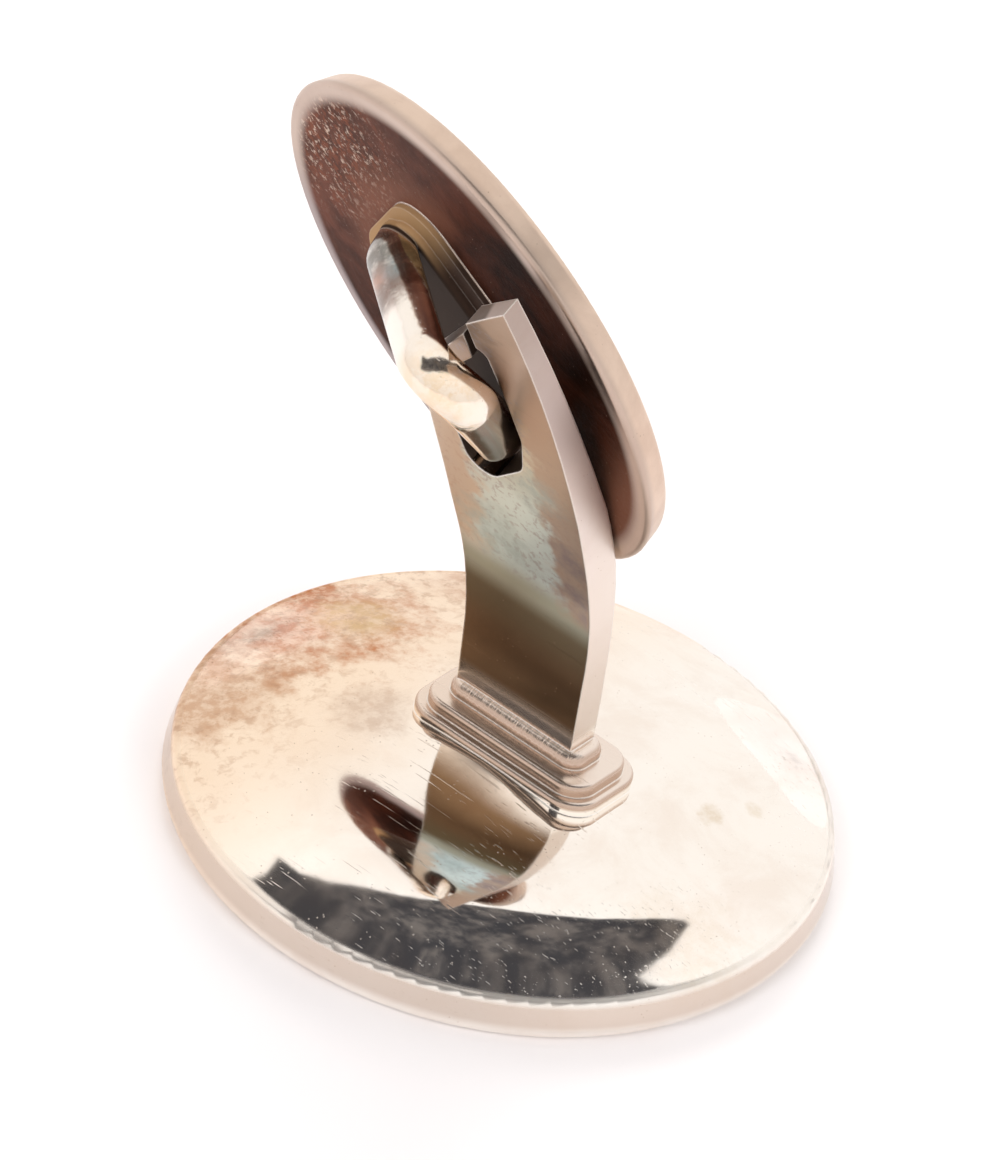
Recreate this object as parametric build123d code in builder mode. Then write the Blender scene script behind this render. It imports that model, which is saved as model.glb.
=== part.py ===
from build123d import *
from math import cos, sin, radians
import os

# Silver cufflink standing on the rim of its front button, in millimetres.
# The origin is the centre of the front button's rest face.  +X runs along the
# foot and across the strap, +Y is the side on which the small disc hangs.

# front button
FRONT_R = 9.0          # outer radius of the large disc
BAND_IN = 0.2          # how far the side band leans in up to the crease
CREASE_Z = 1.25        # height of the crease between side band and domed back
DOME_Z = 2.8           # height of the domed back at its middle
DOME_FULL = 0.755      # share of the dome's rise that half its radius has
RIM_EDGE, RIM_W = 0.55, 0.75   # rounding outside the rest rim, and the rim's width
RECESS_Z = 0.55        # depth of the floor inside the rim
RECESS_IN = 0.35       # slope from the rim to the floor
RELIEF = 0.28          # height of the raised fruit on that floor
CORE_DEEP = 0.16       # depth of the core's hollow
PIP_ROOT, PIP_LOW = 0.04, 0.04    # pips start this deep in the metal and end below the relief

# stepped foot under the strap: length, width and rise of each step
FOOT_X, FOOT_Y = 0.2, 0.12
STEP1 = (6.05, 2.95, 0.17)
STEP2 = (5.5, 2.45, 0.36)
BEAD = (4.5, 1.45, 0.41)
STEP_EDGE, BEAD_EDGE = 0.14, 0.3
STEP1_CORNER, STEP2_CORNER, BEAD_CORNER = 0.9, 0.75, 0.5

# strap, side view: front and back face at the foot, straight runs, then two
# bends each with their turns in degrees
STRAP_FRONT, STRAP_BACK = -0.224, 0.715
FRONT_RUN, BACK_RUN = 2.94, 1.728
FRONT_BENDS, BACK_BENDS = (11.9, 73.7), (20.5, 114.7)
FRONT_TURNS, BACK_TURNS = (95.86, 17.57, 12.4), (94.55, 25.85, 6.4)
# and its front view: height and half width
FLARE = [(2.7, 1.92), (3.7, 1.95), (6.0, 2.0), (8.0, 2.12), (10.5, 2.3), (13.0, 2.38), (24.0, 2.38)]
LEAN = 32.0            # lean of the upper part, degrees
TIP_Y, TIP_Z = -5.93, 18.0     # a point on the front face of the upper part
# eye seen along that face's normal, and the sawn gap that opens it at the end
EYE = [(0.78, 1.4), (1.0, -2.9), (0.72, -4.6), (-0.75, -6.35), (-1.35, -5.75), (-1.62, -3.9),
       (-1.4, -1.75)]
EYE_RADII = [0.28, 1.5, 1.2, 0.6, 0.6, 2.0, 0.9, 0.3, 0.05]
GAP_L, GAP_R = 0.12, 0.45      # sides of the gap
GAP_LOW, GAP_TOP = 0.6, 3.8
END_RIGHT, SLOPE_RIGHT = 2.06, 1.342    # slanted end of the right prong: height at the middle, slope
END_LEFT, SLOPE_LEFT = 1.58, 1.7        # and of the left prong, which is shorter
END_W, END_H = 3.2, 8.5        # half width and height of the cut that makes the end

# toggle button: centre and axes of its flat back
TOG_C = (-3.18, -1.63, 15.31)
TOG_X = (-0.8576, -0.0425, 0.5126)
TOG_Y = (-0.4776, 0.4358, -0.7629)
TOG_N = (-0.191, -0.899, -0.394)
TOG_R = 7.3
TOG_BAND = 0.8
TOG_DOME = 0.6
TOG_LIP = 0.14         # soft edge between the band and the flat back
TOG_IN, TOG_ROUND = 0.16, 0.22     # lean of the band, and its rounding into the dome
PAD1 = (6.9, 5.5, 0.2)         # lower step of the pad
PAD2 = (6.2, 4.0, 0.45)        # upper step of the pad

# bail: centre line in the toggle's own axes, from its upper to its lower foot
BAIL_W, BAIL_T = 1.4, 0.84
BAIL_POINTS = [(2.86, -0.55, 0.1), (2.59, -1.23, 0.88), (-0.55, -6.05, 3.42),
               (-1.96, -5.75, 2.95), (-3.1, -1.66, 1.5), (-2.6, -0.85, 0.1)]
BAIL_RADII = [1.3, 0.95, 0.95, 1.2]
BAIL_SIDE = (0.186, 0.708, 0.682)  # broad side of the section at the upper foot

CREASE_R = FRONT_R - BAND_IN
RIM_OUT = FRONT_R - RIM_EDGE
RIM_IN = RIM_OUT - RIM_W
FLOOR_R = RIM_IN - RECESS_IN
gap_mid = (GAP_L + GAP_R) / 2
STEP1_TOP = DOME_Z + STEP1[2]
STEP2_TOP = STEP1_TOP + STEP2[2]
BEAD_TOP = STEP2_TOP + BEAD[2]


def on_floor(*shares):
    """Points of the raised fruit, as shares of the recess floor's radius."""
    return [(FLOOR_R * a, FLOOR_R * b) for a, b in shares]


tip = Plane(origin=(0, TIP_Y, TIP_Z), x_dir=(1, 0, 0),
            z_dir=(0, -cos(radians(LEAN)), -sin(radians(LEAN))))
back_plane = Plane(origin=TOG_C, x_dir=TOG_X, z_dir=TOG_N)
edge_plane = Plane(origin=TOG_C, x_dir=TOG_X, z_dir=(-TOG_Y[0], -TOG_Y[1], -TOG_Y[2]))

# The strap alone: its side view gives thickness and lean, its front view the
# flare, and both meet before the eye is cut.
with BuildPart() as strap:
    with BuildSketch(Plane.YZ):
        with BuildLine():
            f1 = PolarLine((STRAP_FRONT, DOME_Z), FRONT_RUN, FRONT_TURNS[0])
            f2 = JernArc(f1 @ 1, f1 % 1, FRONT_BENDS[0], FRONT_TURNS[1])
            f3 = JernArc(f2 @ 1, f2 % 1, FRONT_BENDS[1], FRONT_TURNS[2])
            b1 = PolarLine((STRAP_BACK, DOME_Z), BACK_RUN, BACK_TURNS[0])
            b2 = JernArc(b1 @ 1, b1 % 1, BACK_BENDS[0], BACK_TURNS[1])
            b3 = JernArc(b2 @ 1, b2 % 1, BACK_BENDS[1], BACK_TURNS[2])
            Line(f1 @ 0, b1 @ 0)
            Line(f3 @ 1, b3 @ 1)
        make_face()
    extrude(amount=FLARE[-1][1] + 0.2, both=True)
    with BuildSketch(Plane.XZ):
        with BuildLine():
            Polyline(*[(-half, high) for high, half in FLARE],
                     *[(half, high) for high, half in reversed(FLARE)], close=True)
        make_face()
    extrude(amount=12, both=True, mode=Mode.INTERSECT)
    # slanted end
    with BuildSketch(tip):
        with BuildLine():
            Polyline((-END_W, END_LEFT - END_W * SLOPE_LEFT), (gap_mid, END_LEFT + gap_mid * SLOPE_LEFT),
                     (gap_mid, END_RIGHT + gap_mid * SLOPE_RIGHT), (END_W, END_RIGHT + END_W * SLOPE_RIGHT),
                     (END_W, END_H), (-END_W, END_H), close=True)
        make_face()
    extrude(amount=2.5, both=True, mode=Mode.SUBTRACT)
    # eye with rounded corners, and the gap that opens it at the end
    with BuildSketch(tip):
        with BuildLine():
            FilletPolyline(*EYE, (GAP_L, GAP_LOW - 0.05), (GAP_L + 0.02, EYE[0][1] - 0.02),
                           radius=EYE_RADII, close=True)
        make_face()
        with Locations((gap_mid, (GAP_LOW + GAP_TOP) / 2)):
            Rectangle(GAP_R - GAP_L, GAP_TOP - GAP_LOW)
    extrude(amount=2.5, both=True, mode=Mode.SUBTRACT)

# Large disc: flat rim below, shallow recess with a raised halved fruit, side
# band, domed back, stepped foot and the strap, all soldered into one piece.
with BuildPart() as front:
    with BuildSketch(Plane.XZ):
        with BuildLine():
            Line((0, RECESS_Z), (FLOOR_R, RECESS_Z))
            Line((FLOOR_R, RECESS_Z), (RIM_IN, 0))
            Line((RIM_IN, 0), (RIM_OUT, 0))
            ThreePointArc((RIM_OUT, 0), (FRONT_R - 0.16, 0.14), (FRONT_R, 0.45))
            Line((FRONT_R, 0.45), (CREASE_R + 0.06, CREASE_Z - 0.12))
            ThreePointArc((CREASE_R + 0.06, CREASE_Z - 0.12), (CREASE_R + 0.01, CREASE_Z - 0.02),
                          (CREASE_R - 0.12, CREASE_Z + 0.04))
            ThreePointArc((CREASE_R - 0.12, CREASE_Z + 0.04),
                          (CREASE_R / 2, CREASE_Z + DOME_FULL * (DOME_Z - CREASE_Z)), (0, DOME_Z))
            Line((0, DOME_Z), (0, RECESS_Z))
        make_face()
    revolve(axis=Axis.Z)
    with BuildSketch(Plane.XY.offset(CREASE_Z)):
        with Locations((FOOT_X, FOOT_Y)):
            RectangleRounded(STEP1[0], STEP1[1], STEP1_CORNER)
    extrude(amount=STEP1_TOP - CREASE_Z)
    fillet(front.faces().sort_by(Axis.Z)[-1].edges(), STEP_EDGE)
    with BuildSketch(Plane.XY.offset(CREASE_Z)):
        with Locations((FOOT_X, FOOT_Y)):
            RectangleRounded(STEP2[0], STEP2[1], STEP2_CORNER)
    extrude(amount=STEP2_TOP - CREASE_Z)
    fillet(front.faces().sort_by(Axis.Z)[-1].edges(), STEP_EDGE)
    with BuildSketch(Plane.XY.offset(CREASE_Z)):
        with Locations((FOOT_X - 0.1, FOOT_Y + 0.03)):
            RectangleRounded(BEAD[0], BEAD[1], BEAD_CORNER)
    extrude(amount=BEAD_TOP - CREASE_Z)
    fillet(front.faces().sort_by(Axis.Z)[-1].edges(), BEAD_EDGE)
    # raised fruit on the hidden face: body, core line, two pips, stem and leaf
    with BuildSketch(Plane.XY.offset(RECESS_Z)):
        with BuildLine():
            Spline(*on_floor((0, 0.45), (0.26, 0.55), (0.545, 0.42), (0.645, 0.08), (0.505, -0.37),
                             (0.23, -0.645), (0, -0.59), (-0.23, -0.645), (-0.505, -0.37),
                             (-0.645, 0.08), (-0.545, 0.42), (-0.26, 0.55)), periodic=True)
        make_face()
        with BuildLine():
            Polyline(*on_floor((-0.03, 0.395), (0.03, 0.395), (0.09, 0.76), (0.02, 0.78)), close=True)
        make_face()
        with BuildLine():
            ThreePointArc(*on_floor((0.095, 0.61), (0.27, 0.78), (0.505, 0.76)))
            ThreePointArc(*on_floor((0.505, 0.76), (0.355, 0.605), (0.095, 0.61)))
        make_face()
    extrude(amount=-RELIEF)
    with BuildSketch(Plane.XY.offset(RECESS_Z - RELIEF)):
        with BuildLine():
            ThreePointArc(*on_floor((0, 0.285), (0.24, -0.03), (0, -0.37)))
            ThreePointArc(*on_floor((0, -0.37), (-0.24, -0.03), (0, 0.285)))
        make_face()
    extrude(amount=CORE_DEEP, mode=Mode.SUBTRACT)
    with BuildSketch(Plane.XY.offset(RECESS_Z - RELIEF + CORE_DEEP + PIP_ROOT)):
        with Locations(*on_floor((0.1, -0.04), (-0.1, -0.04))):
            Ellipse(FLOOR_R * 0.05, FLOOR_R * 0.115)
    extrude(amount=-CORE_DEEP - PIP_ROOT + PIP_LOW)
    add(strap.part)

front.part.label = "front_button"

# Small disc with its side band and gently domed outer face, the stepped pad
# on its flat back, and the bent bail soldered on the pad by both feet.
with BuildPart() as toggle:
    with BuildSketch(edge_plane):
        with BuildLine():
            Line((0, 0), (TOG_R - TOG_LIP, 0))
            ThreePointArc((TOG_R - TOG_LIP, 0), (TOG_R - 0.29 * TOG_LIP, -0.29 * TOG_LIP),
                          (TOG_R, -TOG_LIP))
            Line((TOG_R, -TOG_LIP), (TOG_R - TOG_IN, -TOG_BAND + 0.55 * TOG_ROUND))
            ThreePointArc((TOG_R - TOG_IN, -TOG_BAND + 0.55 * TOG_ROUND),
                          (TOG_R - TOG_IN - 0.36 * TOG_ROUND, -TOG_BAND + 0.09 * TOG_ROUND),
                          (TOG_R - TOG_IN - TOG_ROUND, -TOG_BAND - 0.14 * TOG_ROUND))
            ThreePointArc((TOG_R - TOG_IN - TOG_ROUND, -TOG_BAND - 0.14 * TOG_ROUND),
                          (TOG_R / 2, -TOG_BAND - 0.75 * TOG_DOME), (0, -TOG_BAND - TOG_DOME))
            Line((0, -TOG_BAND - TOG_DOME), (0, 0))
        make_face()
    revolve(axis=Axis(TOG_C, TOG_N))
    with BuildSketch(back_plane.offset(-0.3)):
        RectangleRounded(PAD1[0], PAD1[1], 1.6)
    extrude(amount=PAD1[2] + 0.3)
    with BuildSketch(back_plane.offset(-0.3)):
        RectangleRounded(PAD2[0], PAD2[1], 1.1)
    extrude(amount=PAD2[2] + 0.3)
    fillet(toggle.faces().sort_by(Axis(TOG_C, TOG_N))[-1].edges(), 0.18)
    with BuildLine(back_plane) as bail_line:
        FilletPolyline(*BAIL_POINTS, radius=BAIL_RADII)
    bail_path = bail_line.wires()[0]
    side = (back_plane.x_dir * BAIL_SIDE[0] + back_plane.y_dir * BAIL_SIDE[1]
            + back_plane.z_dir * BAIL_SIDE[2])
    with BuildSketch(Plane(origin=bail_path @ 0, x_dir=side, z_dir=bail_path % 0)):
        Ellipse(BAIL_W / 2, BAIL_T / 2)
    sweep(path=bail_path)

toggle.part.label = "toggle_button"

os.makedirs("parts", exist_ok=True)
export_step(front.part, "parts/front_button.step")
export_step(toggle.part, "parts/toggle_button.step")
print("front", front.part.is_valid, len(front.part.solids()), front.part.volume)
print("toggle", toggle.part.is_valid, len(toggle.part.solids()), toggle.part.volume)
print("gap between them", front.part.distance_to(toggle.part))
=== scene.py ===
import bpy
from math import cos, sin, radians
from mathutils import Matrix, Vector


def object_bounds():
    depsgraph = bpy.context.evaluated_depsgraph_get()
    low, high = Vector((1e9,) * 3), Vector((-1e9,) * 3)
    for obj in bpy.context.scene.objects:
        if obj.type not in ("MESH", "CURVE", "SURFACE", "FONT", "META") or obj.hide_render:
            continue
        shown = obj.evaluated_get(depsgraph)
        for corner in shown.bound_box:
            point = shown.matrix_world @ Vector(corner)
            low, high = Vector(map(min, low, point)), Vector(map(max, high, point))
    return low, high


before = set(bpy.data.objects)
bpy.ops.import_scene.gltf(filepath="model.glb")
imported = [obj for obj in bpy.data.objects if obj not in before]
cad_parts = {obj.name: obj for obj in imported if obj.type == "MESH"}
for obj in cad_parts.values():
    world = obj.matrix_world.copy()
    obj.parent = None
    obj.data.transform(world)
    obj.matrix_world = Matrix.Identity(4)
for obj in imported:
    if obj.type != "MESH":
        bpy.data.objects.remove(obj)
cad_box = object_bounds()

# Table top and studio: the cufflink stands on a plain white sheet that runs
# out on all sides.  The light is a white tent, so the silver has little but
# white to mirror.


def add(tree, kind, inputs=None, **settings):
    """Add one node, set it up and connect or fill its inputs."""
    node = tree.nodes.new(kind)
    for name, value in settings.items():
        setattr(node, name, value)
    for name, value in (inputs or {}).items():
        if isinstance(value, bpy.types.NodeSocket):
            tree.links.new(value, node.inputs[name])
        else:
            node.inputs[name].default_value = value
    return node


def calc(tree, operation, first, second=0.0, third=0.0):
    return add(tree, "ShaderNodeMath", {0: first, 1: second, 2: third},
               operation=operation).outputs[0]


def times(tree, first, second):
    return calc(tree, "MULTIPLY", first, second)


def dot(tree, first, second):
    return add(tree, "ShaderNodeVectorMath", {0: first, 1: second},
               operation="DOT_PRODUCT").outputs["Value"]


def fade(tree, value, low, high):
    """Smooth mask that goes from 0 at low to 1 at high."""
    return add(tree, "ShaderNodeMapRange", {"Value": value, "From Min": low, "From Max": high},
               interpolation_type="SMOOTHSTEP").outputs[0]


def between(tree, value, one_border, other_border):
    """Mask of what lies between two soft borders, each given from outside to inside."""
    return times(tree, fade(tree, value, *one_border), fade(tree, value, *other_border))


def noise(tree, place, scale, detail, rough=0.5):
    return add(tree, "ShaderNodeTexNoise", {"Vector": place, "Scale": scale, "Detail": detail,
                                            "Roughness": rough}).outputs[0]


# a Mix node's colours go in its sockets 6 and 7, and its vectors in 4 and 5
def tint(tree, mask, under, over):
    """Lay one colour over another where the mask is."""
    under, over = ((*colour, 1.0) if isinstance(colour, tuple) else colour
                   for colour in (under, over))
    return add(tree, "ShaderNodeMix", {0: mask, 6: under, 7: over}, data_type="RGBA").outputs[2]


def new_material(name):
    """Start a material; gives it with its shader."""
    material = bpy.data.materials.new(name)
    material.use_nodes = True
    return material, material.node_tree.nodes["Principled BSDF"]


# the sheet lies a hair below the disc, in metres like all places here
sheet_reach, sheet_gap = 2.5, 0.00002
sheet_mesh = bpy.data.meshes.new("white_sheet")
sheet_mesh.from_pydata([(-sheet_reach, -sheet_reach, 0), (sheet_reach, -sheet_reach, 0),
                        (sheet_reach, sheet_reach, 0), (-sheet_reach, sheet_reach, 0)],
                       [], [(0, 1, 2, 3)])
white_sheet = bpy.data.objects.new("white_sheet", sheet_mesh)
bpy.context.scene.collection.objects.link(white_sheet)
white_sheet.location.z = cad_box[0][2] - sheet_gap
paper, paper_shader = new_material("white_paper")
paper_shader.inputs["Base Color"].default_value = (0.97, 0.945, 0.95, 1)
paper_shader.inputs["Roughness"].default_value = 0.75
sheet_mesh.materials.append(paper)

tent = bpy.data.worlds.new("white_tent")
bpy.context.scene.world = tent
tent.use_nodes = True
sky = tent.node_tree
sky.nodes.clear()
toward = add(sky, "ShaderNodeTexCoord").outputs["Generated"]
toward_x, toward_y, toward_z = add(sky, "ShaderNodeSeparateXYZ", {0: toward}).outputs
least_up = 0.02
up = calc(sky, "MAXIMUM", toward_z, least_up)
# places on a flat roof that is one unit above the table
roof_x = calc(sky, "DIVIDE", toward_x, up)
roof_y = calc(sky, "DIVIDE", toward_y, up)


def grey(level):
    return (level, level, level, 1)


# A dark opening in the roof, which the near side of the dome mirrors.  A ramp
# along x holds the y of its wavy far edge, from -1 to 1; its other sides are
# straight and soft.
roof_half = 1.2
far_edge = add(sky, "ShaderNodeValToRGB", {
    0: calc(sky, "MULTIPLY_ADD", roof_x, 1 / (2 * roof_half), 0.5)})
far_edge.color_ramp.elements[0].color = grey(0.27)
far_edge.color_ramp.elements[1].color = grey(0.98)
for edge_x, edge_y in ((-0.902, -0.53), (-0.707, -0.55), (-0.509, -0.49), (-0.187, -0.227),
                       (0.033, 0.088), (0.314, 0.317), (0.683, 0.752)):
    point = far_edge.color_ramp.elements.new((edge_x + roof_half) / (2 * roof_half))
    point.color = grey((edge_y + 1) / 2)
beyond = calc(sky, "SUBTRACT", roof_y, calc(sky, "MULTIPLY_ADD", far_edge.outputs[0], 2.0, -1.0))
slanted_end = calc(sky, "MULTIPLY_ADD", roof_y, 0.5, roof_x)
opening = between(sky, beyond, (0.012, -0.012), (-1.10, -1.00))
for measure, outside, inside in ((slanted_end, 1.16, 1.14), (roof_x, -0.94, -0.90),
                                 (roof_x, 0.90, 0.87)):
    opening = times(sky, opening, fade(sky, measure, outside, inside))

cloth = tint(sky, fade(sky, toward_z, -0.1, 0.9), (0.99, 0.96, 0.95), (1.19, 1.18, 1.17))
# the side behind the cufflink stands nearest the window, lit evenly and warmly
window_way = (-0.46, 0.75, 0.47)
cloth = tint(sky, fade(sky, dot(sky, toward, window_way), 0.25, 0.85), cloth, (1.06, 1.03, 1.00))
dark_room = tint(sky, fade(sky, noise(sky, toward, 9.0, 5.0, 0.7), 0.42, 0.66),
                 (0.060, 0.060, 0.068), (0.20, 0.185, 0.18))
mirrored = tint(sky, opening, cloth, dark_room)
# past the cufflink the camera sees one plain white, like the photo's ground
plain_white = (1.0, 0.985, 0.99)
seen = tint(sky, add(sky, "ShaderNodeLightPath").outputs["Is Camera Ray"], mirrored, plain_white)
background = add(sky, "ShaderNodeBackground", {"Color": seen, "Strength": 1.0})
add(sky, "ShaderNodeOutputWorld", {"Surface": background.outputs[0]})

# three soft lamps outside the cloth, which the silver doesn't mirror
for name, stand, target, size, power, colour in (
        ("lamp_behind", (-0.35, 0.45, 0.42), (0, 0, 0.008), 0.36, 1.3, (1.0, 0.98, 0.96)),
        ("lamp_right", (0.42, -0.12, 0.30), (0, 0, 0.008), 0.24, 0.5, (1.0, 0.97, 0.95)),
        ("lamp_front", (0.02, -0.50, 0.42), (0, 0, 0), 0.40, 1.3, (0.97, 0.97, 1.0))):
    light = bpy.data.lights.new(name, "AREA")
    light.shape = "DISK"
    light.size = size
    light.energy = power
    light.color = colour
    lamp = bpy.data.objects.new(name, light)
    bpy.context.scene.collection.objects.link(lamp)
    lamp.location = stand
    lamp.visible_glossy = False
    lamp.rotation_euler = (Vector(target) - Vector(stand)).to_track_quat("-Z", "Y").to_euler()

# The camera looks down at 38.8 degrees from the strap's inner side and is
# turned 12.9 degrees about its own line of sight.  Lengths in the picture are
# in pixels of the 1160 pixels tall photo.
width_turn, down, roll = radians(31.5), radians(38.78), radians(12.92)
camera_far = 0.270
photo_tall, focal_pixels = 1160.0, 10236.0
off_right, off_up = 3.5, 238.0
sensor_tall = 36.0
away = Vector((-sin(width_turn) * cos(down), cos(width_turn) * cos(down), -sin(down)))
level = Vector((cos(width_turn), sin(width_turn), 0))
above = level.cross(away)
picture_right = level * cos(roll) + above * sin(roll)
picture_up = above * cos(roll) - level * sin(roll)
eye = -away * camera_far
centre_ray = (away * focal_pixels + picture_right * off_right + picture_up * off_up).normalized()
picture_right = (picture_right - centre_ray * picture_right.dot(centre_ray)).normalized()
picture_up = picture_right.cross(centre_ray)
camera_data = bpy.data.cameras.new("camera")
camera_data.sensor_fit = "VERTICAL"
camera_data.sensor_height = sensor_tall
camera_data.lens = sensor_tall * focal_pixels / photo_tall
camera_data.clip_start = 0.01
camera = bpy.data.objects.new("camera", camera_data)
bpy.context.scene.collection.objects.link(camera)
camera.matrix_world = Matrix((
    (picture_right.x, picture_up.x, -centre_ray.x, eye.x),
    (picture_right.y, picture_up.y, -centre_ray.y, eye.y),
    (picture_right.z, picture_up.z, -centre_ray.z, eye.z),
    (0, 0, 0, 1)))
bpy.context.scene.camera = camera
bpy.context.scene.view_settings.view_transform = "Standard"

# Large button: a struck silver disc with a domed back, a stepped foot and the
# curved strap soldered to it.  Old polish has worn the high places bright and
# left warm films of tarnish round the foot and on the strap's inner face.


def new_group(name, sockets):
    """Start a node group; gives it with its entry node and its way out."""
    group = bpy.data.node_groups.new(name, "ShaderNodeTree")
    for label, side, kind in sockets:
        group.interface.new_socket(label, in_out=side, socket_type="NodeSocket" + kind)
    return group, group.nodes.new("NodeGroupInput"), group.nodes.new("NodeGroupOutput")


def use_group(tree, group, inputs=None):
    return add(tree, "ShaderNodeGroup", inputs, node_tree=group)


# cloud: soft uneven patches of a film
film_cloud, entry, leave = new_group("film_cloud", [
    ("Place", "INPUT", "Vector"), ("Size", "INPUT", "Float"), ("Low", "INPUT", "Float"),
    ("High", "INPUT", "Float"), ("Mask", "OUTPUT", "Float")])
grain = add(film_cloud, "ShaderNodeTexNoise", {
    "Vector": entry.outputs["Place"], "Scale": entry.outputs["Size"], "Detail": 7.0,
    "Roughness": 0.62, "Distortion": 0.35}).outputs[0]
spread = fade(film_cloud, grain, entry.outputs["Low"], entry.outputs["High"])
film_cloud.links.new(spread, leave.inputs["Mask"])

# stain: one patch round a place, with a ragged edge
film_stain, entry, leave = new_group("film_stain", [
    ("Place", "INPUT", "Vector"), ("Middle", "INPUT", "Vector"), ("Reach", "INPUT", "Float"),
    ("Ragged", "INPUT", "Float"), ("Mask", "OUTPUT", "Float")])
spot = entry.outputs["Place"]
apart = add(film_stain, "ShaderNodeVectorMath", {0: spot, 1: entry.outputs["Middle"]},
            operation="DISTANCE").outputs["Value"]
share = calc(film_stain, "DIVIDE", apart, entry.outputs["Reach"])
rough_edge = noise(film_stain, spot, 0.9, 6.0, 0.65)
pushed = times(film_stain, calc(film_stain, "SUBTRACT", rough_edge, 0.5), entry.outputs["Ragged"])
patch = fade(film_stain, calc(film_stain, "ADD", share, pushed), 1.0, 0.25)
fine_edge = noise(film_stain, spot, 2.3, 8.0, 0.7)
mottle = calc(film_stain, "MULTIPLY_ADD", fade(film_stain, fine_edge, 0.40, 0.60), 0.5, 0.5)
film_stain.links.new(times(film_stain, patch, mottle), leave.inputs["Mask"])

# handling: hair-fine scratches three ways, and tiny pits
handling, entry, leave = new_group("handling_marks", [
    ("Place", "INPUT", "Vector"), ("Scratches", "OUTPUT", "Float"), ("Pits", "OUTPUT", "Float")])
spot = entry.outputs["Place"]
scratches = None
scratch_long, scratch_fine = 0.16, 4.5
for turn, fine in ((0.4, 3.2), (1.5, 4.4), (2.5, 3.7)):
    turned = add(handling, "ShaderNodeMapping", {
        "Vector": spot, "Rotation": (0.2, 0.1, turn),
        "Scale": (scratch_long, fine * scratch_fine, fine * scratch_fine)}).outputs[0]
    lines = fade(handling, noise(handling, turned, 1.0, 2.0), 0.69, 0.77)
    scratches = lines if scratches is None else calc(handling, "MAXIMUM", scratches, lines)
handling.links.new(scratches, leave.inputs["Scratches"])
dots = add(handling, "ShaderNodeTexVoronoi", {"Vector": spot, "Scale": 5.5}).outputs[0]
pits = times(handling, fade(handling, dots, 0.13, 0.06),
             fade(handling, noise(handling, spot, 1.1, 3.0), 0.52, 0.62))
handling.links.new(pits, leave.inputs["Pits"])

# edges: where the metal is rubbed round and bright, with the rounded normal
edge_round = 0.00007
worn_edges, entry, leave = new_group("worn_edges", [
    ("Mask", "OUTPUT", "Float"), ("Normal", "OUTPUT", "Vector")])
rounded = add(worn_edges, "ShaderNodeBevel", {"Radius": edge_round}, samples=6).outputs[0]
true_normal = add(worn_edges, "ShaderNodeNewGeometry").outputs["True Normal"]
worn_edges.links.new(fade(worn_edges, dot(worn_edges, rounded, true_normal), 0.985, 0.90),
                     leave.inputs["Mask"])
worn_edges.links.new(rounded, leave.inputs["Normal"])


def place_in_mm(tree):
    metres = add(tree, "ShaderNodeTexCoord").outputs["Object"]
    return add(tree, "ShaderNodeVectorMath", {0: metres, "Scale": 1000.0},
               operation="SCALE").outputs[0]


def facing(tree, direction):
    """How far the surface faces a fixed direction of the piece."""
    return dot(tree, add(tree, "ShaderNodeTexCoord").outputs["Normal"], direction)


def cloud(tree, place, size, low, high):
    return use_group(tree, film_cloud, {"Place": place, "Size": size, "Low": low,
                                        "High": high}).outputs[0]


def stain(tree, place, middle, reach, ragged):
    return use_group(tree, film_stain, {"Place": place, "Middle": middle, "Reach": reach,
                                        "Ragged": ragged}).outputs[0]


def film(tree, under, mask, strength, colour):
    """Lay a film of tarnish over a colour, as thick as mask and strength say."""
    return tint(tree, times(tree, mask, strength), under, colour)


def stops(tree, value, low, high, colours):
    """Colour that runs through the given stops between two values."""
    share = add(tree, "ShaderNodeMapRange", {"Value": value, "From Min": low,
                                             "From Max": high}).outputs[0]
    ramp = add(tree, "ShaderNodeValToRGB", {0: share})
    ramp.color_ramp.interpolation = "EASE"
    while len(ramp.color_ramp.elements) < len(colours):
        ramp.color_ramp.elements.new(0.5)
    for element, (position, colour) in zip(ramp.color_ramp.elements, colours):
        element.position = (position - low) / (high - low)
        element.color = (*colour, 1.0)
    return ramp.outputs[0]


bright_silver = (0.95, 0.90, 0.84)
worn_silver = (0.80, 0.66, 0.56)
warm_brown = (0.40, 0.26, 0.17)
strap_inner_way, strap_outer_way = (0, -0.86, -0.50), (0, 0.86, 0.50)
strap_end_way = (0, -0.53, 0.85)
# soft borders of the parts, in mm above the table, each from outside to inside
band_borders = (1.22, 1.05), (0.35, 0.6)
crease_borders = (1.33, 1.28), (1.05, 1.12)
dome_borders = (1.26, 1.30), (2.80, 2.79)
foot_borders = (2.72, 2.85), (3.95, 3.75)
bead_borders = (3.35, 3.42), (3.9, 3.75)
strap_start = 3.8, 4.6
eye_borders = (12.5, 12.7), (21.5, 21.2)
eye_half_width = 1.76, 1.70

button_silver, shader = new_material("button_silver")
tree = button_silver.node_tree
shader.inputs["Metallic"].default_value = 1.0
place = place_in_mm(tree)
x, y, z = add(tree, "ShaderNodeSeparateXYZ", {0: place}).outputs
clouds = cloud(tree, place, 0.45, 0.38, 0.68)
flecks = cloud(tree, place, 2.6, 0.50, 0.66)
marks = use_group(tree, handling, {"Place": place})

skin = film(tree, bright_silver, clouds, 0.35, worn_silver)
left_side = fade(tree, x, 1.5, -6.0)
skin = film(tree, skin, left_side, 0.75, (0.93, 0.71, 0.50))
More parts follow.
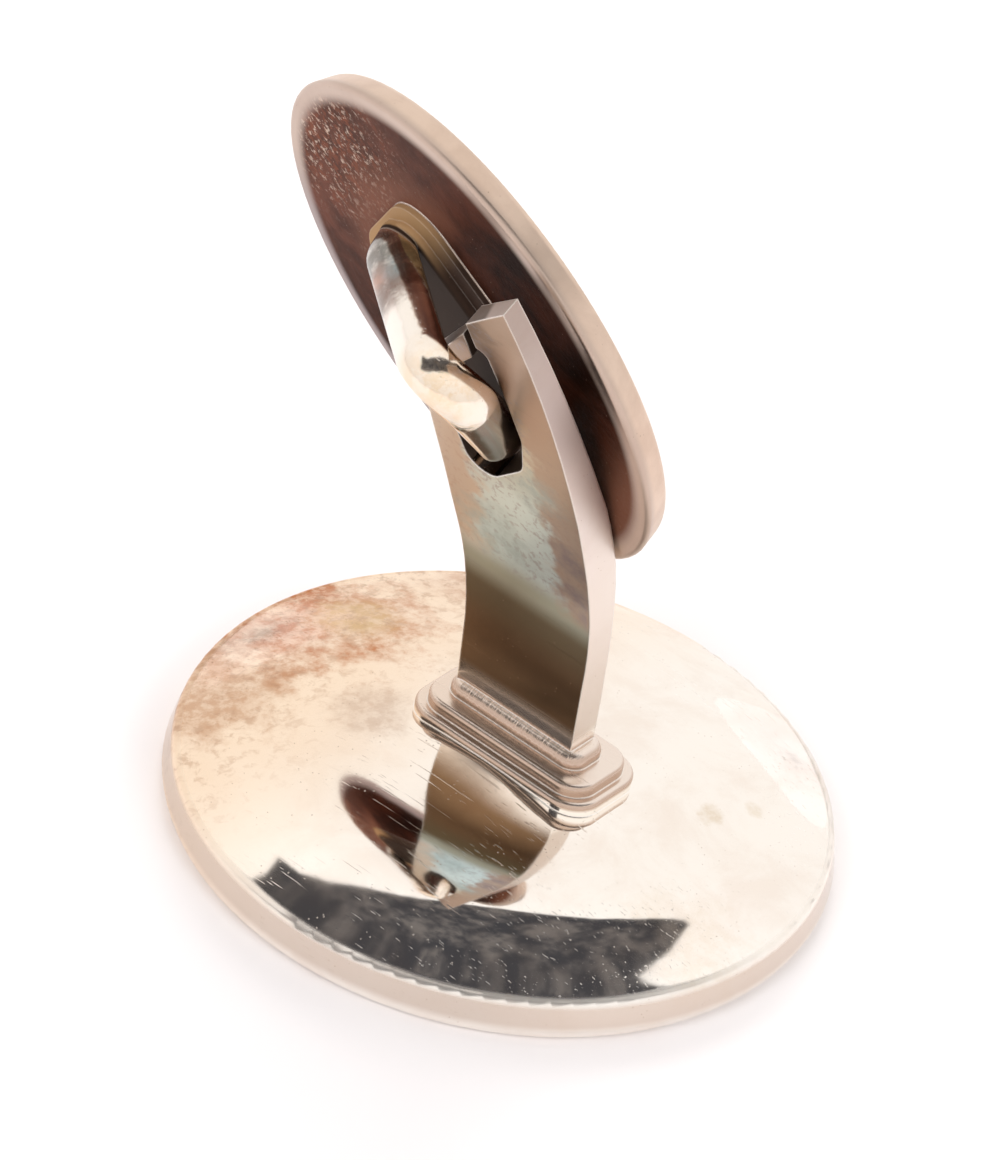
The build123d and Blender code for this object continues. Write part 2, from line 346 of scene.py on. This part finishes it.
# stains on the dome, strongest near the left edge and faint on the right
for middle, reach, ragged, strength, colour in (
        ((-7.4, 0.6, 1.6), 4.0, 2.2, 1.0, (0.52, 0.19, 0.065)),
        ((-6.5, 1.3, 1.9), 1.6, 1.2, 0.55, (0.74, 0.60, 0.30)),
        ((-7.2, -3.6, 1.4), 3.0, 2.0, 0.8, (0.56, 0.31, 0.17)),
        ((-5.2, 5.6, 1.5), 3.0, 1.8, 0.75, (0.60, 0.36, 0.23)),
        ((-3.4, -1.9, 2.6), 1.5, 1.6, 0.45, (0.44, 0.28, 0.19)),
        ((-2.2, 1.9, 2.7), 1.6, 1.3, 0.45, (0.50, 0.34, 0.24)),
        ((5.0, 2.4, 2.2), 0.42, 3.2, 0.40, (0.62, 0.46, 0.26)),
        ((5.4, 3.7, 2.0), 0.30, 3.2, 0.30, (0.66, 0.50, 0.30)),
        ((7.4, -1.6, 1.4), 2.2, 1.8, 0.30, (0.76, 0.62, 0.46))):
    skin = film(tree, skin, stain(tree, place, middle, reach, ragged), strength, colour)
skin = film(tree, skin, times(tree, flecks, fade(tree, x, -2.0, -7.0)), 0.5, (0.46, 0.26, 0.15))
# brown film on the side band, which fingers don't reach
skin = film(tree, skin, between(tree, z, *band_borders), 0.75, (0.60, 0.49, 0.41))

# the strap's inner face: brown low down, then blue grey with flecks, and
# brown again near the end
inner_colour = stops(tree, z, 3.6, 22.6, [
    (3.6, (0.50, 0.33, 0.20)), (4.6, (0.29, 0.175, 0.095)), (5.8, (0.16, 0.092, 0.048)),
    (7.4, (0.125, 0.092, 0.052)), (8.3, (0.33, 0.34, 0.28)), (9.4, (0.58, 0.71, 0.74)),
    (12.0, (0.63, 0.76, 0.78)), (14.2, (0.62, 0.62, 0.53)), (17.0, (0.38, 0.27, 0.19)),
    (22.6, (0.17, 0.10, 0.07))])
inner_flecks = times(tree, cloud(tree, place, 4.5, 0.52, 0.64), fade(tree, z, 8.2, 9.2))
inner_colour = film(tree, inner_colour, inner_flecks, 0.55, (0.30, 0.27, 0.30))
# both margins are rubbed warm, the right one browner than the left
wander = calc(tree, "SUBTRACT", noise(tree, place, 1.3, 5.0), 0.5)
wandering_x = calc(tree, "MULTIPLY_ADD", wander, 2.2, x)
right_margin = times(tree, fade(tree, wandering_x, 0.9, 1.5), fade(tree, z, 8.0, 8.6))
inner_colour = film(tree, inner_colour, right_margin, 0.85, (0.42, 0.30, 0.23))
left_margin = times(tree, fade(tree, wandering_x, -0.9, -1.6), fade(tree, z, 8.4, 9.4))
inner_colour = film(tree, inner_colour, left_margin, 0.75, (0.62, 0.48, 0.36))
inner = times(tree, fade(tree, facing(tree, strap_inner_way), 0.35, 0.75),
              fade(tree, z, *strap_start))
skin = tint(tree, inner, skin, inner_colour)
# dark spots towards the right margin, then two patches of stronger blue grey
violet_grey, blue_grey = (0.24, 0.21, 0.25), (0.36, 0.47, 0.49)
for middle, reach, ragged, strength, colour in (
        ((1.9, -0.9, 9.6), 1.3, 2.4, 0.75, violet_grey),
        ((1.7, -1.7, 11.2), 1.2, 2.4, 0.75, violet_grey),
        ((1.4, -2.6, 12.8), 1.0, 2.4, 0.75, violet_grey),
        ((-0.9, -1.2, 10.3), 2.0, 1.6, 0.8, blue_grey),
        ((0.9, -3.0, 13.4), 1.6, 1.6, 0.8, blue_grey)):
    patch = times(tree, stain(tree, place, middle, reach, ragged), inner)
    skin = film(tree, skin, patch, strength, colour)

# rosy film on the strap's two edge faces, and a grey one on its outer face
side_face = times(tree, fade(tree, calc(tree, "ABSOLUTE", facing(tree, (1, 0, 0))), 0.6, 0.85),
                  fade(tree, z, 3.9, 4.3))
skin = film(tree, skin, side_face, 0.8, stops(tree, z, 4.0, 22.0, [
    (4.0, (0.72, 0.62, 0.54)), (9.0, (0.83, 0.73, 0.66)), (14.0, (0.74, 0.63, 0.58)),
    (17.5, (0.52, 0.41, 0.38)), (22.0, (0.30, 0.20, 0.16))]))
outer_strap = times(tree, fade(tree, facing(tree, strap_outer_way), 0.35, 0.75),
                    fade(tree, z, *strap_start))
skin = film(tree, skin, outer_strap, calc(tree, "MULTIPLY_ADD", clouds, 0.35, 0.45),
            (0.52, 0.44, 0.38))
# painted shade inside the eye: its walls are darkened to a deep brown
eye_wall_shade = times(tree, fade(tree, calc(tree, "ABSOLUTE", x), *eye_half_width),
                 between(tree, z, *eye_borders))
eye_wall_shade = times(tree, eye_wall_shade,
                 fade(tree, calc(tree, "ABSOLUTE", facing(tree, strap_inner_way)), 0.6, 0.5))
skin = film(tree, skin, eye_wall_shade, 0.92, (0.10, 0.060, 0.036))
# the foot is tan, and browner on its sides
foot = between(tree, z, *foot_borders)
foot_side = times(tree, foot, fade(tree, facing(tree, (0, 0, 1)), 0.95, 0.6))
skin = film(tree, skin, foot, 0.6, (0.74, 0.60, 0.51))
skin = film(tree, skin, foot_side, 0.75, (0.48, 0.33, 0.24))
# the sunk ground round the raised fruit, on the face below, is dull
under = times(tree, fade(tree, z, 0.62, 0.5), fade(tree, facing(tree, (0, 0, -1)), 0.4, 0.8))
skin = film(tree, skin, times(tree, under, fade(tree, z, 0.3, 0.5)), 0.6, (0.42, 0.35, 0.30))
skin = film(tree, skin, marks.outputs["Pits"], 0.5, warm_brown)
# the cut end of the strap is dark brown but for its edges, partly a film and partly painted shade
strap_end = times(tree, fade(tree, facing(tree, strap_end_way), 0.6, 0.8),
                  fade(tree, z, 18.5, 19.5))
skin = film(tree, skin, strap_end, 0.9, (0.13, 0.080, 0.052))
edges = use_group(tree, worn_edges)
skin = film(tree, skin, edges.outputs["Mask"], 0.75, bright_silver)
tree.links.new(skin, shader.inputs["Base Color"])

# polish, and how much duller each part is
shine = calc(tree, "ADD", times(tree, clouds, 0.04), 0.045)
crease = between(tree, z, *crease_borders)
for part, duller in ((left_side, 0.06), (foot, 0.16), (inner, 0.24),
                     (marks.outputs["Scratches"], 0.16), (side_face, 0.38), (crease, 0.30)):
    shine = calc(tree, "ADD", shine, times(tree, part, duller))
tree.links.new(shine, shader.inputs["Roughness"])

# On the strap's inner side the dome's shoulder is rounder than its middle.
# How far it drops below the solid, in mm, is a power series in the mm from
# the centre.
from_centre = calc(tree, "SQRT", calc(tree, "ADD", times(tree, x, x), times(tree, y, y)))
drop = -2.1416e-04
for term in (3.6425e-03, -0.00964, -0.06201, 0.17802, 0.0):
    drop = calc(tree, "MULTIPLY_ADD", from_centre, drop, term)
millimetre = 0.001
round_shoulder = add(tree, "ShaderNodeBump", {
    "Height": times(tree, drop, -1.0), "Strength": 1.0, "Distance": millimetre,
    "Normal": edges.outputs["Normal"]}).outputs[0]
inner_side = calc(tree, "SUBTRACT", times(tree, x, 0.52), times(tree, y, 0.85))
on_dome = times(tree, between(tree, z, *dome_borders), fade(tree, inner_side, -6.5, -3.0))
base_normal = add(tree, "ShaderNodeMix", {
    0: on_dome, 4: edges.outputs["Normal"], 5: round_shoulder}, data_type="VECTOR").outputs[1]

# file lines on the foot's bead, a slow ripple, scratches and pits
bump_height = 0.00001
filed = add(tree, "ShaderNodeMapping", {"Vector": place, "Scale": (14.0, 1.2, 3.0)}).outputs[0]
file_lines = noise(tree, filed, 1.0, 3.0)
ripple = noise(tree, place, 0.7, 2.0)
height = times(tree, marks.outputs["Scratches"], -0.35)
for feature, tall in ((marks.outputs["Pits"], -0.8), (ripple, 0.7),
                      (times(tree, file_lines, between(tree, z, *bead_borders)), 5.0)):
    height = calc(tree, "ADD", height, times(tree, feature, tall))
relief = add(tree, "ShaderNodeBump", {"Height": height, "Strength": 0.5,
                                      "Distance": bump_height, "Normal": base_normal})
tree.links.new(relief.outputs[0], shader.inputs["Normal"])

front_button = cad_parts["front_button"]
front_button.data.materials.clear()
front_button.data.materials.append(button_silver)

# Toggle button: a smaller silver disc, flat behind, with a stepped pad and the
# bent bail soldered on it.  The back is dark brown, partly a tarnish film and
# partly painted shade; the bail and the rim are rubbed bright.
painted_gold_reflection = (0.83, 0.62, 0.40)
# the middle of its back in mm, and the ways its back, its pad's length and its
# pad's width point
toggle_middle = (-3.18, -1.63, 15.31)
back_way = (-0.191, -0.899, -0.394)
pad_long = (-0.8576, -0.0425, 0.5126)
pad_wide = (-0.4776, 0.4358, -0.7629)
# soft borders, in mm above the back
lip_borders = (-0.35, -0.08), (0.05, 0.01)
pad_borders = (0.02, 0.06), (0.62, 0.5)

toggle_silver, shader = new_material("toggle_silver")
tree = toggle_silver.node_tree
place = place_in_mm(tree)
offset = add(tree, "ShaderNodeVectorMath", {0: place, 1: toggle_middle},
             operation="SUBTRACT").outputs[0]
lift = dot(tree, offset, back_way)
along = dot(tree, offset, pad_long)
across = dot(tree, offset, pad_wide)
radius = calc(tree, "SQRT", calc(tree, "ADD", times(tree, along, along),
                                 times(tree, across, across)))
behind = fade(tree, facing(tree, back_way), 0.5, 0.85)
marks = use_group(tree, handling, {"Place": place})
clouds = cloud(tree, place, 0.5, 0.36, 0.66)
speckle = cloud(tree, place, 4.2, 0.47, 0.57)
pale_speckle = cloud(tree, place, 5.5, 0.54, 0.62)

# the back is painted nearly black, partly a tarnish film and partly painted
# shade, redder at both ends of the pad's length and rubbed off in speckles at the open end
dark_film_and_shade = tint(tree, clouds, (0.012, 0.0035, 0.0018), (0.050, 0.013, 0.006))
open_end_film_and_shade = tint(tree, clouds, (0.080, 0.036, 0.027), (0.15, 0.060, 0.042))
dark_film_and_shade = tint(tree, fade(tree, along, -0.5, 5.5), dark_film_and_shade, open_end_film_and_shade)
dark_film_and_shade = tint(tree, fade(tree, along, -4.2, -6.2), dark_film_and_shade, (0.15, 0.060, 0.035))
worn_part = times(tree, stain(tree, offset, (-5.2, 0.2, 3.1), 4.6, 1.3), 0.8)
dark_film_and_shade = film(tree, dark_film_and_shade, speckle, worn_part, (0.22, 0.072, 0.040))
dark_film_and_shade = film(tree, dark_film_and_shade, pale_speckle, worn_part, (0.66, 0.52, 0.42))
halo = times(tree, fade(tree, radius, 5.4, 3.9), fade(tree, along, 1.4, 2.6))
dark_film_and_shade = film(tree, dark_film_and_shade, halo, 0.7, (0.20, 0.085, 0.055))

skin = film(tree, (0.74, 0.58, 0.47), clouds, 0.5, (0.56, 0.41, 0.32))
rim_shade = times(tree, fade(tree, across, 2.5, 5.5), fade(tree, lift, -0.3, -0.05))
skin = film(tree, skin, rim_shade, 0.95, (0.20, 0.18, 0.25))
# the outer face is rubbed bright by the cuff, with grey clouds left in it
outer_face = fade(tree, facing(tree, back_way), -0.80, -0.92)
face_cloud = cloud(tree, place, 0.32, 0.42, 0.64)
skin = tint(tree, outer_face, skin,
            film(tree, (0.90, 0.85, 0.80), face_cloud, 0.55, (0.70, 0.63, 0.57)))
skin = film(tree, skin, between(tree, lift, *lip_borders), 0.6, (0.46, 0.36, 0.31))
back_zone = times(tree, behind, times(tree, fade(tree, radius, 7.05, 6.55),
                                      fade(tree, lift, 0.08, 0.03)))
skin = tint(tree, back_zone, skin, dark_film_and_shade)
# the pad is painted near black, partly a dark film and partly painted shade under the bail, and
# warmer brown towards its upper end
pad_zone = between(tree, lift, *pad_borders)
pad_film_and_shade_along = tint(tree, fade(tree, along, 1.0, 2.6), (0.035, 0.018, 0.012), (0.38, 0.23, 0.11))
pad_film_and_shade = tint(tree, fade(tree, lift, 0.36, 0.445), pad_film_and_shade_along, (0.018, 0.009, 0.006))
skin = film(tree, skin, pad_zone, 0.97, pad_film_and_shade)

bail_zone = fade(tree, lift, 0.5, 0.75)
skin = tint(tree, bail_zone, skin, (0.93, 0.86, 0.78))
# the upper half of the bail's open limb keeps a pitted grey film, and its coppery patch is partly
# a painted dark reflection
upper_limb = times(tree, fade(tree, across, -4.1, -3.2), fade(tree, along, 0.0, 0.6))
on_limb = times(tree, bail_zone, upper_limb)
mottled = cloud(tree, place, 1.6, 0.36, 0.52)
skin = film(tree, skin, on_limb, calc(tree, "MULTIPLY_ADD", mottled, 0.6, 0.3),
            (0.17, 0.145, 0.12))
on_toggle = add(tree, "ShaderNodeCombineXYZ", {0: along, 1: across, 2: lift}).outputs[0]
# grey, brown and blue stains on the bail, and at its bend a golden patch that is a painted warm
# reflection
for where, middle, reach, ragged, strength, colour in (
        (on_toggle, (2.3, -1.9, 1.3), 1.9, 0.9, 0.85, (0.20, 0.19, 0.17)),
        (on_toggle, (1.4, -3.1, 2.0), 1.3, 0.9, 0.8, (0.24, 0.15, 0.12)),
        (on_toggle, (1.9, -2.3, 1.9), 0.8, 0.9, 0.8, (0.46, 0.24, 0.17)),
        (on_toggle, (2.3, -2.9, 1.4), 0.8, 0.9, 0.7, (0.26, 0.36, 0.38)),
        (offset, (3.2, -5.4, 2.6), 1.7, 0.8, 0.7, painted_gold_reflection)):
    patch = times(tree, stain(tree, where, middle, reach, ragged), bail_zone)
    skin = film(tree, skin, patch, strength, colour)
# painted shade: the bail is darker brown where it goes down into the eye
deep_shade = times(tree, times(tree, bail_zone, fade(tree, lift, 2.8, 1.4)),
             fade(tree, along, 0.5, -0.5))
skin = film(tree, skin, deep_shade, 0.7, (0.52, 0.38, 0.24))
skin = film(tree, skin, marks.outputs["Pits"], 0.6, (0.34, 0.24, 0.18))
edges = use_group(tree, worn_edges)
worn = times(tree, edges.outputs["Mask"], calc(tree, "MULTIPLY_ADD", rim_shade, -0.7, 0.7))
worn = times(tree, worn, calc(tree, "MULTIPLY_ADD", pad_zone, -0.75, 1.0))
skin = tint(tree, worn, skin, (0.86, 0.76, 0.68))
tree.links.new(skin, shader.inputs["Base Color"])

# the tarnish film and painted shade of the back and pad are no metal and hardly mirror
film_and_shade_zone = calc(tree, "MAXIMUM", back_zone, pad_zone)
tree.links.new(calc(tree, "MULTIPLY_ADD", film_and_shade_zone, -0.9, 1.0), shader.inputs["Metallic"])
shader.inputs["IOR"].default_value = 1.06
shine = calc(tree, "ADD", times(tree, film_and_shade_zone, 0.34), 0.16)
shine = calc(tree, "SUBTRACT", shine, times(tree, bail_zone, 0.02))
shine = calc(tree, "ADD", shine, times(tree, fade(tree, radius, 6.7, 7.0), 0.22))
shine = calc(tree, "SUBTRACT", shine, times(tree, outer_face, 0.09))
shine = calc(tree, "ADD", shine, times(tree, marks.outputs["Scratches"], 0.14))
tree.links.new(shine, shader.inputs["Roughness"])
ripple = noise(tree, place, 1.1, 3.0)
height = calc(tree, "ADD", times(tree, marks.outputs["Scratches"], -0.4),
              times(tree, ripple, 1.5))
for feature, tall in ((times(tree, speckle, back_zone), 0.8), (marks.outputs["Pits"], -1.0)):
    height = calc(tree, "ADD", height, times(tree, feature, tall))
relief = add(tree, "ShaderNodeBump", {"Height": height, "Strength": 0.5,
                                      "Distance": bump_height, "Normal": edges.outputs["Normal"]})
tree.links.new(relief.outputs[0], shader.inputs["Normal"])

toggle_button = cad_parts["toggle_button"]
toggle_button.data.materials.clear()
toggle_button.data.materials.append(toggle_silver)
